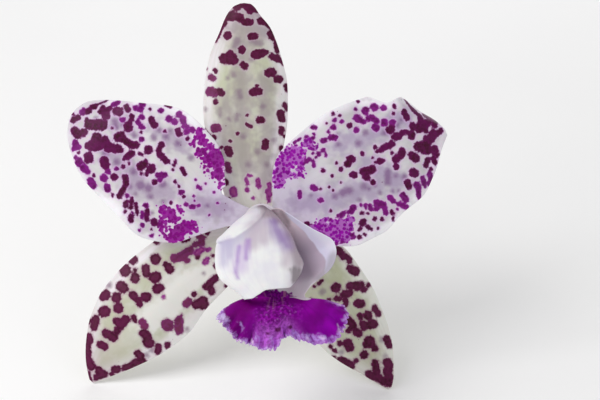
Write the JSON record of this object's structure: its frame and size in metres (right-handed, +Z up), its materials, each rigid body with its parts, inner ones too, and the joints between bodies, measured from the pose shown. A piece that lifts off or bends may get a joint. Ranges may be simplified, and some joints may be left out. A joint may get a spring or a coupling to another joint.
{
  "type": "cattleya orchid bloom",
  "caption": "Picked spotted cattleya bloom with waved petals, frilled lip, column, and a short cut pedicel, lying face up.",
  "frame": {"origin": "middle of the footprint's bounding box, on the surface that the bloom rests on", "axes": "+Z up; +X to the right as the face is seen; the face looks towards -Y and up; the cut pedicel reaches down behind, towards +Y"},
  "size_m": [0.1076, 0.0706, 0.0976],
  "materials": {
    "sepal": "waxy ivory green with maroon spots",
    "petal": "satin lilac white with purple spots",
    "lip": "velvety purple mid lobe, white side lobes",
    "column": "waxy white",
    "anther": "waxy cream",
    "pollinia": "waxy yellow",
    "pedicel": "satin green"
  },
  "bodies": {
    "root": {"dorsal_sepal": "sepal", "lateral_sepal_left": "sepal", "lateral_sepal_right": "sepal", "petal_left": "petal", "petal_right": "petal", "lip": "lip", "column": "column", "anther_cap": "anther", "pollinia": "pollinia", "ovary_and_pedicel": "pedicel"}
  },
  "joints": []
}
